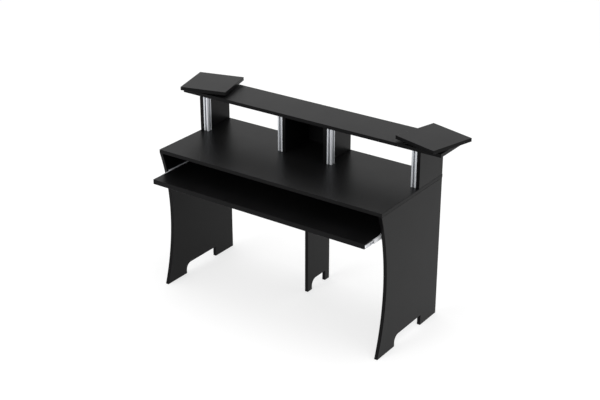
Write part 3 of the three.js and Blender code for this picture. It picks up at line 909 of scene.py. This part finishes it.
@dataclass
class RackPost:
    """A slotted aluminium post: four round lobes, an undercut slot between each two and a core bore."""

    name: str
    lobe: float = 0.005
    mouth: float = 0.0082
    lip: float = 0.0024
    slot: float = 0.016
    slot_floor: float = 0.008
    bore: float = 0.0043
    core_wall: float = 0.0017
    mouth_round: float = 0.0006
    undercut_round: float = 0.0004
    floor_round: float = 0.0012
    sides: int = 4
    round_steps: int = 12
    upright_share: float = 0.5
    bolt: float = 0.004
    bolt_pitch: float = 0.00125
    bolt_head: float = 0.0065
    bolt_head_height: float = 0.008
    bolt_head_edge: float = 0.0006
    key: float = 0.0034
    key_depth: float = 0.004

    def outline(self, half: float) -> Outline:
        """The post's section round its own axis.

        Args:
            half: half the post's width.

        Returns:
            The outline.
        """
        lip = half - self.lip
        flank = [
            (self.mouth / 2, half, self.mouth_round),
            (self.mouth / 2, lip, self.undercut_round),
            (self.slot / 2, lip, self.undercut_round),
            (self.slot_floor / 2, self.bore + self.core_wall, self.floor_round),
        ]
        mirrored = [(-x, y, radius) for x, y, radius in reversed(flank)]
        corners: list[Corner] = []
        for side in range(self.sides):
            turn = Matrix.Rotation(2 * math.pi * side / self.sides, 2)
            for x, y, radius in ((half, half, self.lobe), *flank, *mirrored):
                corners.append((*(turn @ Vector((x, y))), radius))
        return Form.rounded(corners, self.round_steps)

    def is_in_slot(self, face: bpy.types.MeshPolygon, half: float) -> bool:
        """Whether a long face lies inside a slot, where a darker finish gives painted shade.

        Args:
            face: one of the post's faces, round its own axis.
            half: half the post's width.

        Returns:
            True for a face inside a slot.
        """
        near, far = sorted((abs(face.center.x), abs(face.center.y)))
        is_long = abs(face.normal.z) < self.upright_share
        return is_long and near < self.slot / 2 and far < half - self.mouth_round

    def build(self) -> None:
        """Makes the post and the socket-head bolt that holds it from below."""
        node = f"rack_post_{self.name}"
        low, high = node_box(node)
        half = (high.x - low.x) / 2
        mesh = Form.prism(self.outline(half), low.z, high.z, (Form.circle(0, 0, self.bore),))
        # Faces inside the slots take the darker finish: painted shade in the slots' recesses.
        for finish in (Finish.ALUMINIUM, Finish.SLOT_ALUMINIUM):
            mesh.materials.append(finish.material)
        for face in mesh.polygons:
            face.material_index = int(self.is_in_slot(face, half))
        mesh.transform(Matrix.Translation((low.x + half, low.y + half, 0)))
        Bench.finish(f"{node}_profile", mesh, "carcass", "post_aluminium", node)

        edge, height = self.bolt_head_edge, self.bolt_head_height
        head = [
            (self.bolt, -height, 0),
            (self.bolt_head - edge / 2, -height, 0),
            (self.bolt_head, -height + edge / 2, 0),
            (self.bolt_head, -edge, 0),
            (self.bolt_head - edge, 0, 0),
            (0, 0, 0),
        ]
        bolt = Fastener(
            head, self.bolt, tip_taper=0, thread_pitch=self.bolt_pitch, drive=Drive.HEXAGON,
            drive_radius=self.key, drive_depth=self.key_depth, steps=32,
        )
        bolt.build(f"post_bolt_{self.name}", "carcass", Vector((0, 0, -1)), 0.0)


@dataclass
class CamConnector:
    """A cam in one board that draws in the head of a bolt screwed into the other board."""

    cam: float = 0.0072
    cam_edge: float = 0.0004
    bolt_depth: float = 0.0087
    cavity: float = 0.0046
    head_room: float = 0.0033
    neck_room: float = 0.0023
    slit_steps: int = 12
    drive_length: float = 0.008
    drive_width: float = 0.0014
    drive_depth: float = 0.0025
    overrun: float = 0.004
    head: float = 0.003
    head_length: float = 0.003
    neck: float = 0.002
    neck_length: float = 0.0047
    shank: float = 0.0034
    shank_length: float = 0.0162
    thread: float = 0.003
    thread_length: float = 0.011
    thread_depth: float = 0.0006
    thread_pitch: float = 0.0018

    def cam_mesh(self, depth: float) -> Mesh:
        """The cam with its open face at zero, its inside below and the bolt's side along X.

        Args:
            depth: how far the cam reaches into its board.

        Returns:
            The mesh, with a cavity, an entry and a slit in which the bolt's neck swings.
        """
        side, rim, reach = self.head_room, self.cam - self.cam_edge, self.cam + self.overrun
        low, high = -self.bolt_depth - side, -self.bolt_depth + side
        slit_low, slit_high = -self.bolt_depth - self.neck_room, -self.bolt_depth + self.neck_room
        lead = math.asin(self.neck_room / self.cavity)
        fan = [(0.0, 0.0)]
        for step in range(self.slit_steps + 1):
            turn = -lead + (math.pi / 2 + lead) * step / self.slit_steps
            fan.append((reach * math.cos(turn), reach * math.sin(turn)))
        cutters = [
            Form.bar(self.cavity, low, high, steps=32),
            Form.prism(fan, slit_low, slit_high),
            Form.prism([(-side, 0), (side, 0), (side, reach), (-side, reach)], low, high),
            *Form.cross(self.drive_length, self.drive_width, -self.drive_depth, self.overrun),
        ]
        rows = [
            (0, -depth, 0),
            (rim, -depth, 0),
            (self.cam, -depth + self.cam_edge, 0),
            (self.cam, -self.cam_edge, 0),
            (rim, 0, 0),
            (0, 0, 0),
        ]
        return Bench.combined(Form.turned(rows, steps=40), cutters)

    def bolt_mesh(self) -> Mesh:
        """The bolt with its thread's end at zero and its head below.

        Returns:
            The mesh.
        """
        shank_top = -self.thread_length
        shank_end = shank_top - self.shank_length
        seat = shank_end - self.neck_length
        foot = seat - self.head_length
        stretches = (
            (self.head, foot, seat),
            (self.neck, seat, shank_end),
            (self.shank, shank_end, shank_top),
        )
        rows: list[Row] = [(0, foot, 0)]
        for radius, low, high in stretches:
            rows += [(radius, low, 0), (radius, high, 0)]
        core = self.thread - self.thread_depth
        thread = Form.thread(shank_top, 0, self.thread_depth, self.thread_pitch)
        rows += [(core, height, ridge) for height, ridge in thread]
        return Form.turned([*rows, (0, 0, 0)], steps=24, pitch=self.thread_pitch)

    def add(self, node: str, out_of_face: Vector, to_other: Vector) -> None:
        """Makes one cam and its bolt.

        Args:
            node: the cam's node.
            out_of_face: the way that the cam's open face looks.
            to_other: the way from the cam to the board that takes the bolt's thread.
        """
        face, depth = node_end(node, out_of_face)
        cam = Bench.dressed(self.cam_mesh(depth), Finish.ZINC)
        cam.transform(frame_at(face, out_of_face, to_other))
        Bench.finish(f"{node}_cast", cam, "carcass", "zinc_sheet", node)
        node = node.replace("_cam_", "_cam_bolt_")
        bolt = Bench.dressed(self.bolt_mesh(), Finish.BLACK_STEEL)
        bolt.transform(frame_at(node_end(node, to_other)[0], to_other, out_of_face))
        Bench.finish(f"{node}_threaded", bolt, "carcass", "dark_steel", node)

    def build(self) -> None:
        """Makes the connectors of the worktop and the back rail."""
        for side in Side:
            outwards = Vector((side.value, 0, 0))
            for end in ENDS:
                self.add(f"worktop_cam_{side.word}_{end}", -outwards, Vector((0, 0, 1)))
            self.add(f"rail_cam_{side.word}", Vector((0, -1, 0)), outwards)


@dataclass
class BallSlide:
    """One telescopic slide: three rolled members, two ball cages and the screws of both boards.

    Its sections are drawn by their reach from the side panel and their height over the slide's middle.
    """

    side: Side
    fit: float = 0.0003
    thickness: float = 0.0127
    sheet: float = 0.001
    bend: float = 0.0012
    lip: float = 0.0019
    run: float = 0.0004
    drawer_height: float = 0.0126
    outer_ball: float = 0.00145
    inner_ball: float = 0.00115
    ball_play: float = 0.00012
    cage_sheet: float = 0.0005
    cage_edge: float = 0.009
    cage_balls: int = 9
    hole: float = 0.0023
    hole_count: int = 7
    tab_corner: float = 0.002
    screw: float = 0.0019
    screw_head: float = 0.0035
    screw_rim: float = 0.0003
    tray_screw: float = 0.002
    pan_head: float = 0.0036
    pan_height: float = 0.0022
    pan_dome_share: float = 0.55
    pan_flat: float = 0.0012
    pan_steps: int = 6
    first_turn: float = 0.4
    next_turn: float = 0.9

    def __post_init__(self) -> None:
        """Works out each layer's web reach and flange height, from the cabinet to the drawer member."""
        self.word = self.side.word
        self.inwards = Vector((-self.side.value, 0, 0))
        self.panel_face = node_end(f"side_panel_{self.word}", self.inwards)[0].x
        self.centre = node_end(f"slide_cabinet_member_{self.word}", self.inwards)[0].z
        half, reach, webs = self.sheet / 2, self.fit, []
        for thickness in (self.sheet, self.cage_sheet, self.sheet, self.cage_sheet):
            webs.append(reach + thickness / 2)
            reach += thickness + self.run
        self.drawer_tip = reach
        webs.append(self.thickness - self.fit - half)
        self.tip = webs[-1] - self.run - half
        self.cage_tip = self.tip - half - self.run
        height = self.drawer_height / 2
        flanges = [height - half]
        for ball in (self.inner_ball, self.outer_ball):
            flanges += [height + ball, height + 2 * ball + half]
            height += 2 * ball + self.sheet
        layers = ("cabinet", "outer", "middle", "inner", "drawer")
        self.levels = dict(zip(layers, zip(webs, reversed(flanges))))

    @staticmethod
    def trough(tip: float, web: float, flange: float) -> Outline:
        """The middle line of a web and two flanges."""
        return [(tip, flange), (web, flange), (web, -flange), (tip, -flange)]

    def channel(self, web: float, flange: float) -> Outline:
        """The middle line of a trough whose lips turn in at the tray's side."""
        lip = flange - self.lip
        return [(self.tip, lip), *self.trough(self.tip, web, flange), (self.tip, -lip)]

    def rolled(self, node: str, line: Outline, thickness: float) -> Mesh:
        """Sheet that is bent along a middle line and as long as its node."""
        length = node_end(node, Vector((0, 1, 0)))[1]
        return Form.prism(Form.sheet(line, thickness, self.bend), 0, length)

    @staticmethod
    def across(cutter: Mesh, reach: float, along: float) -> Mesh:
        """Turns a cutter across a web, at a reach and a length.

        Args:
            cutter: a cutter along Z.
            reach: how far from the panel it goes.
            along: where it goes along the member.

        Returns:
            The same cutter.
        """
        place = Matrix.Translation((reach, 0, along))
        cutter.transform(place @ Matrix.Rotation(math.pi / 2, 4, "Y"))
        return cutter

    def countersink(self) -> Mesh:
        """The cutter of a countersunk hole, with the sheet's face at zero.

        Returns:
            The mesh.
        """
        head = self.screw_head + self.fit
        rows = [
            (0, -self.fit - 2 * self.sheet, 0),
            (self.screw + self.fit, self.screw - self.screw_head - self.screw_rim, 0),
            (head, -self.screw_rim, 0),
            (head, self.sheet, 0),
            (0, self.sheet, 0),
        ]
        return Form.turned(rows)

    def front_tab(self) -> Mesh:
        """The tab that closes the drawer member's front.

        Returns:
            The mesh.
        """
        half = self.drawer_height / 2
        back = self.levels["drawer"][0] + self.sheet / 2
        corners = [
            (back, -half, 0.0),
            (back, half, 0.0),
            (self.drawer_tip, half, self.tab_corner),
            (self.drawer_tip, -half, self.tab_corner),
        ]
        return Form.prism(Form.rounded(corners), 0, self.sheet)

    def cuts(self, member: str, screw: str) -> list[Mesh]:
        """What is cut out of a member's web: its two screw holes and the row of holes between them.

        Args:
            member: cabinet or drawer.
            screw: what its screws' nodes start with.

        Returns:
            The cutters.
        """
        web = self.levels[member][0]
        start = node_box(f"slide_{member}_member_{self.word}")[0].y
        front, rear = (
            node_end(f"{screw}_screw_{self.word}_{end}", self.inwards)[0].y - start for end in ENDS
        )
        pitch = (rear - front) / (self.hole_count + 1)
        through = 2 * self.sheet
        punch = self.across(Form.bar(self.hole, -through, through), web, front + pitch)
        cutters = [Pattern.laid(punch, Layout.ROW, Count=self.hole_count, Pitch=(0.0, 0.0, pitch))]
        for along in (front, rear):
            if member == "cabinet":
                cutters.append(self.across(self.countersink(), self.fit + self.sheet, along))
            else:
                drill = Form.bar(self.tray_screw + self.fit, -through, through)
                cutters.append(self.across(drill, web, along))
        return cutters

    def hang(self, node: str, mesh: Mesh, body: str, slot: str) -> None:
        """Puts a mesh on the desk from the slide's own axes, which are mirrored on the left side.

        Args:
            node: the node that it stands for.
            mesh: the mesh with its finish.
            body: the body that it rides on.
            slot: the record's material slot.
        """
        start = node_box(node)[0].y
        reach = (self.inwards.x, 0, 0, self.panel_face)
        mesh.transform(Matrix((reach, (0, 0, 1, start), (0, 1, 0, self.centre), (0, 0, 0, 1))))
        if self.side is Side.LEFT:
            mesh.flip_normals()
        Bench.finish(f"{node}_rolled", mesh, body, slot, node)

    def add_members(self) -> None:
        """Makes the three members, the drawer member with its front tab."""
        drawer = self.trough(self.drawer_tip, *self.levels["drawer"])
        members = (
            ("cabinet", "carcass", self.channel(*self.levels["cabinet"]), [], self.cuts("cabinet", "slide")),
            ("middle", f"slide_middle_{self.word}", self.channel(*self.levels["middle"]), [], []),
            ("drawer", "tray", drawer, [self.front_tab()], self.cuts("drawer", "tray")),
        )
        for member, body, line, welded, cutters in members:
            node = f"slide_{member}_member_{self.word}"
            mesh = Bench.combined(self.rolled(node, line, self.sheet), welded, "UNION")
            mesh = Bench.dressed(Bench.combined(mesh, cutters), Finish.ZINC)
            self.hang(node, mesh, body, "zinc_sheet")

    def add_cage(self, cage: str, ball: float) -> None:
        """Makes a ball cage with a row of balls along each flange.

        Args:
            cage: outer or inner.
            ball: the room for a ball's radius.
        """
        node = f"slide_{cage}_balls_{self.word}"
        web, flange = self.levels[cage]
        strip = self.rolled(node, self.trough(self.cage_tip, web, flange), self.cage_sheet)
        length = node_end(node, Vector((0, 1, 0)))[1]
        pitch = (0.0, 0.0, (length - 2 * self.cage_edge) / (self.cage_balls - 1))
        row = Pattern.laid(
            Form.sphere(ball - self.ball_play), Layout.ROW,
            Count=self.cage_balls, Pitch=pitch, Finish=Finish.BALL.material,
        )
        parts = [(strip, Matrix(), Finish.CAGE)]
        for height in (flange, -flange):
            place = Matrix.Translation((self.cage_tip - ball, height, self.cage_edge))
            parts.append((row, place, Finish.BALL))
        mesh = Bench.gathered(*parts)
        self.hang(node, mesh, f"slide_{cage}_cage_{self.word}", "ball_steel")

    def add_screws(self) -> None:
        """Makes the countersunk screws of the side panel and the pan-head screws of the tray."""
        flat_head = [
            (self.screw, self.screw - self.screw_head - self.screw_rim, 0),
            (self.screw_head, -self.screw_rim, 0),
            (self.screw_head, 0, 0),
            (0, 0, 0),
        ]
        dome = self.pan_height * self.pan_dome_share
        pan_head = [(self.tray_screw, -self.pan_height, 0), (self.pan_head, -self.pan_height, 0)]
        for step in range(self.pan_steps + 1):
            swing = math.pi / 2 * step / self.pan_steps
            reach = self.pan_flat + (self.pan_head - self.pan_flat) * math.cos(swing)
            pan_head.append((reach, dome * (math.sin(swing) - 1), 0))
        pan_head.append((0, 0, 0))
        kinds = (
            ("slide", "carcass", Fastener(flat_head, self.screw), self.inwards),
            ("tray", "tray", Fastener(pan_head, self.tray_screw), -self.inwards),
        )
        for number, end in enumerate(ENDS):
            turn = self.first_turn + self.next_turn * number
            for kind, body, screw, towards in kinds:
                screw.build(f"{kind}_screw_{self.word}_{end}", body, towards, turn)

    def build(self) -> None:
        """Makes the whole slide."""
        self.add_members()
        self.add_cage("outer", self.outer_ball)
        self.add_cage("inner", self.inner_ball)
        self.add_screws()


@dataclass
class SpeakerPlatform:
    """A turning platform on a flat ball bearing of two pressed plates.

    A plate is named by the way that it looks: 1 for the base, which looks up, and -1 for the top.
    """

    side: Side
    turn: float = math.radians(15.4)
    plate_width: float = 0.096
    corner: float = 0.008
    corner_steps: int = 10
    sheet: float = 0.0012
    bore: float = 0.026
    bore_steps: int = 72
    hole: float = 0.0023
    hole_inset: float = 0.009
    ball_path: float = 0.0378
    ball: float = 0.0022
    ball_gap: float = 0.0003
    balls: int = 20
    race_swing: float = math.radians(35)
    race_steps: int = 8
    ring_steps: int = 96
    cage_width: float = 0.0016
    cage_height: float = 0.0009
    screws: int = 4
    screw: float = 0.0019
    screw_head: float = 0.0037
    screw_height: float = 0.0016
    screw_dome: tuple[tuple[float, float], ...] = ((1.0, 1.0), (1.0, 0.5), (0.8, 0.15), (0.5, 0.0))
    screw_reach: float = 0.01
    screw_pitch: float = 0.0014
    screw_drive: float = 0.0009
    screw_seed: int = 7

    def __post_init__(self) -> None:
        """Finds the pivot and the heights of the balls and of both plates' middles."""
        low, high = node_box(f"bearing_base_{self.side.word}")
        ceiling = node_box(f"bearing_top_{self.side.word}")[1].z
        self.pivot = Vector(((low.x + high.x) / 2, (low.y + high.y) / 2, 0))
        self.ball_height = (low.z + ceiling) / 2
        self.levels = {1: low.z + self.sheet / 2, -1: ceiling - self.sheet / 2}
        self.inset = self.plate_width / 2 - self.hole_inset

    def plate(self, way: int) -> Mesh:
        """A square plate with round corners, a centre opening and four screw holes.

        Args:
            way: the way that it looks.

        Returns:
            The mesh round the pivot.
        """
        half, inset = self.plate_width / 2, self.inset
        signs = ((1, 1), (-1, 1), (-1, -1), (1, -1))
        outline = Form.rounded([(x * half, y * half, self.corner) for x, y in signs], self.corner_steps)
        bore = Form.circle(0, 0, self.bore, self.bore_steps)
        holes = [Form.circle(x * inset, y * inset, self.hole) for x, y in signs]
        low = self.levels[way] - self.sheet / 2
        return Form.prism(outline, low, low + self.sheet, (bore, *holes))

    def race(self, way: int) -> Mesh:
        """A plate's ring wall, hollowed round the balls: inside them on the base, outside on the top.

        Args:
            way: the way that the plate looks.

        Returns:
            The mesh round the pivot.
        """
        foot = self.levels[way]
        reach = self.ball + self.ball_gap
        back = self.ball_path - way * (reach + self.sheet)
        hollow = []
        for step in range(self.race_steps + 1):
            swing = self.race_swing * (2 * step / self.race_steps - 1)
            radius = self.ball_path - way * reach * math.cos(swing)
            hollow.append((radius, self.ball_height + way * reach * math.sin(swing), 0))
        rows = [(back, foot, 0), (hollow[0][0], foot, 0), *hollow, (back, hollow[-1][1], 0)]
        return Form.turned(rows, self.ring_steps, is_ring=True)

    def screw_ring(self, way: int) -> Mesh:
        """The pan-head screws through a plate's corner holes.

        Args:
            way: the way that the plate and the heads look.

        Returns:
            The mesh round the pivot.
        """
        height = self.screw_height
        dome = [(self.screw_head * across, -height * down, 0) for across, down in self.screw_dome]
        head = [(self.screw, -height, 0), *dome, (0, 0, 0)]
        maker = Fastener(head, self.screw, thread_pitch=self.screw_pitch, drive_depth=self.screw_drive)
        item = maker.mesh(self.screw_reach + height)
        item.transform(Matrix.Translation((0, 0, height)))
        if way < 0:
            item.transform(Matrix.Rotation(math.pi, 4, "X"))
        ring = Pattern.laid(
            item, Layout.RING, Count=self.screws, Radius=self.inset * math.sqrt(2),
            Spin=2 * math.pi, Seed=self.screw_seed, Finish=Finish.BLACK_STEEL.material,
        )
        seat = Matrix.Translation((0, 0, self.levels[way] + way * self.sheet / 2))
        ring.transform(seat @ Matrix.Rotation(math.pi / 4, 4, "Z"))
        return ring

    def build(self) -> None:
        """Makes the platform's board, its bearing and the bearing's screws."""
        word = self.side.word
        platform = f"platform_{word}"
        Board(f"speaker_platform_{word}", platform).build()
        still = Matrix.Translation(self.pivot)
        turned = still @ Matrix.Rotation(-self.side.value * self.turn, 4, "Z")
        for half, body, place, way in (("base", "carcass", still, 1), ("top", platform, turned, -1)):
            node = f"bearing_{half}_{word}"
            parts = [(part, place, Finish.ZINC) for part in (self.plate(way), self.race(way))]
            mesh = Bench.gathered(*parts)
            Bench.finish(f"{node}_pressed", mesh, body, "zinc_sheet", node)
            screws = self.screw_ring(way)
            screws.transform(place)
            Bench.finish(f"bearing_screws_{half}_{word}", screws, body, "dark_steel")

        inner, outer = (self.ball_path + sign * self.cage_width / 2 for sign in (-1, 1))
        low, high = (self.ball_height + sign * self.cage_height / 2 for sign in (-1, 1))
        rows = [(inner, low, 0), (outer, low, 0), (outer, high, 0), (inner, high, 0)]
        cage = Form.turned(rows, self.ring_steps, is_ring=True)
        balls = Pattern.laid(
            Form.sphere(self.ball), Layout.RING, Count=self.balls, Radius=self.ball_path,
            Spin=0.0, Seed=0, Finish=Finish.BALL.material,
        )
        lifted = still @ Matrix.Translation((0, 0, self.ball_height))
        mesh = Bench.gathered((cage, still, Finish.CAGE), (balls, lifted, Finish.BALL))
        node = f"bearing_balls_{word}"
        Bench.finish(f"{node}_ring", mesh, f"bearing_cage_{word}", "ball_steel", node)


@dataclass(frozen=True)
class Lamp:
    """A soft area lamp aimed at the desk, which neither the camera nor gloss shows."""

    name: str
    place: Vector
    size: float
    power: float
    target: Vector = Vector((0, 0, 0.6))

    def build(self) -> None:
        """Hangs the lamp in the studio."""
        light = bpy.data.lights.new(self.name, "AREA")
        light.shape = "DISK"
        light.size = self.size
        light.energy = self.power
        lamp = Bench.piece(light, self.name)
        lamp.location = self.place
        lamp.rotation_euler = (self.target - self.place).to_track_quat("-Z", "Y").to_euler()
        lamp.visible_camera = False
        lamp.visible_glossy = False


@dataclass
class Studio:
    """Camera, lamps, pale floor and white surroundings."""

    camera_place: Vector = Vector((3.21562, -4.50632, 3.12237))
    camera_azimuth: float = math.radians(35.25521)
    camera_elevation: float = math.radians(24.90369)
    camera_roll: float = math.radians(-0.05653)
    focal_pixels: float = 1256.8749
    frame_width_pixels: float = 600
    sensor_width: float = 36.0
    floor_half: float = 40.0
    floor_albedo: float = 0.4
    floor_glow: float = 0.65
    ambient: float = 0.82
    lamps: tuple[Lamp, ...] = (
        Lamp("overhead_softbox", Vector((0.6, 0.4, 5.0)), size=4.5, power=60),
        Lamp("right_softbox", Vector((4.5, -0.5, 2.6)), size=3.0, power=8),
        Lamp("front_softbox", Vector((-1.5, -6.0, 2.0)), size=3.5, power=220),
    )

    def build(self) -> None:
        """Makes the camera, then the lights and the floor."""
        self.add_camera()
        self.add_world()
        self.add_floor()
        for lamp in self.lamps:
            lamp.build()

    def add_camera(self) -> None:
        """Sets the camera where the photograph was taken from."""
        data = bpy.data.cameras.new("photo_camera")
        data.sensor_width = self.sensor_width
        data.lens = self.focal_pixels * self.sensor_width / self.frame_width_pixels
        camera = Bench.piece(data, "photo_camera")
        turned = (
            Matrix.Rotation(self.camera_azimuth, 4, "Z")
            @ Matrix.Rotation(math.pi / 2 - self.camera_elevation, 4, "X")
            @ Matrix.Rotation(self.camera_roll, 4, "Z")
        )
        camera.matrix_world = Matrix.Translation(self.camera_place) @ turned
        bpy.context.scene.camera = camera

    def add_world(self) -> None:
        """White surroundings where they are seen, and a plain level of light elsewhere."""
        world = bpy.data.worlds.new("white_studio")
        bpy.context.scene.world = world
        sheet = NodeSheet(world)
        mixed = {0: sheet.seen()}
        for socket, strength in ((1, self.ambient), (2, 1.0)):
            white = {"Color": (1, 1, 1, 1), "Strength": strength}
            mixed[socket] = sheet.add("ShaderNodeBackground", white).outputs[0]
        mix = sheet.add("ShaderNodeMixShader", mixed)
        sheet.add("ShaderNodeOutputWorld", {"Surface": mix.outputs[0]})

    def add_floor(self) -> None:
        """A pale floor that keeps the desk's shadow and meets the white surroundings."""
        half = self.floor_half
        corners = [(-half, -half, 0), (half, -half, 0), (half, half, 0), (-half, half, 0)]
        mesh = bpy.data.meshes.new("floor")
        mesh.from_pydata(corners, [], [(0, 1, 2, 3)])
        material = bpy.data.materials.new("pale_floor")
        sheet = NodeSheet(material)
        matt = sheet.add("ShaderNodeBsdfDiffuse", {"Color": (*(self.floor_albedo,) * 3, 1)})
        share = sheet.add("ShaderNodeMath", {0: sheet.seen(), 1: self.floor_glow}, operation="MULTIPLY")
        glow = sheet.add("ShaderNodeEmission", {"Strength": share.outputs[0]})
        both = sheet.add("ShaderNodeAddShader", {0: matt.outputs[0], 1: glow.outputs[0]})
        sheet.add("ShaderNodeOutputMaterial", {"Surface": both.outputs[0]})
        mesh.materials.append(material)
        Bench.piece(mesh, "floor")


def main() -> None:
    """Builds the studio and every part of the desk in order."""
    logging.basicConfig(level=logging.INFO, format="%(message)s")
    bpy.context.scene.view_settings.view_transform = "Standard"
    parts = [Studio(), Carcass(), KeyboardTray(), *(RackPost(name) for name in POSTS), CamConnector()]
    for side in Side:
        parts += [BallSlide(side), SpeakerPlatform(side)]
    for part in parts:
        part.build()


if __name__ == "__main__":
    main()
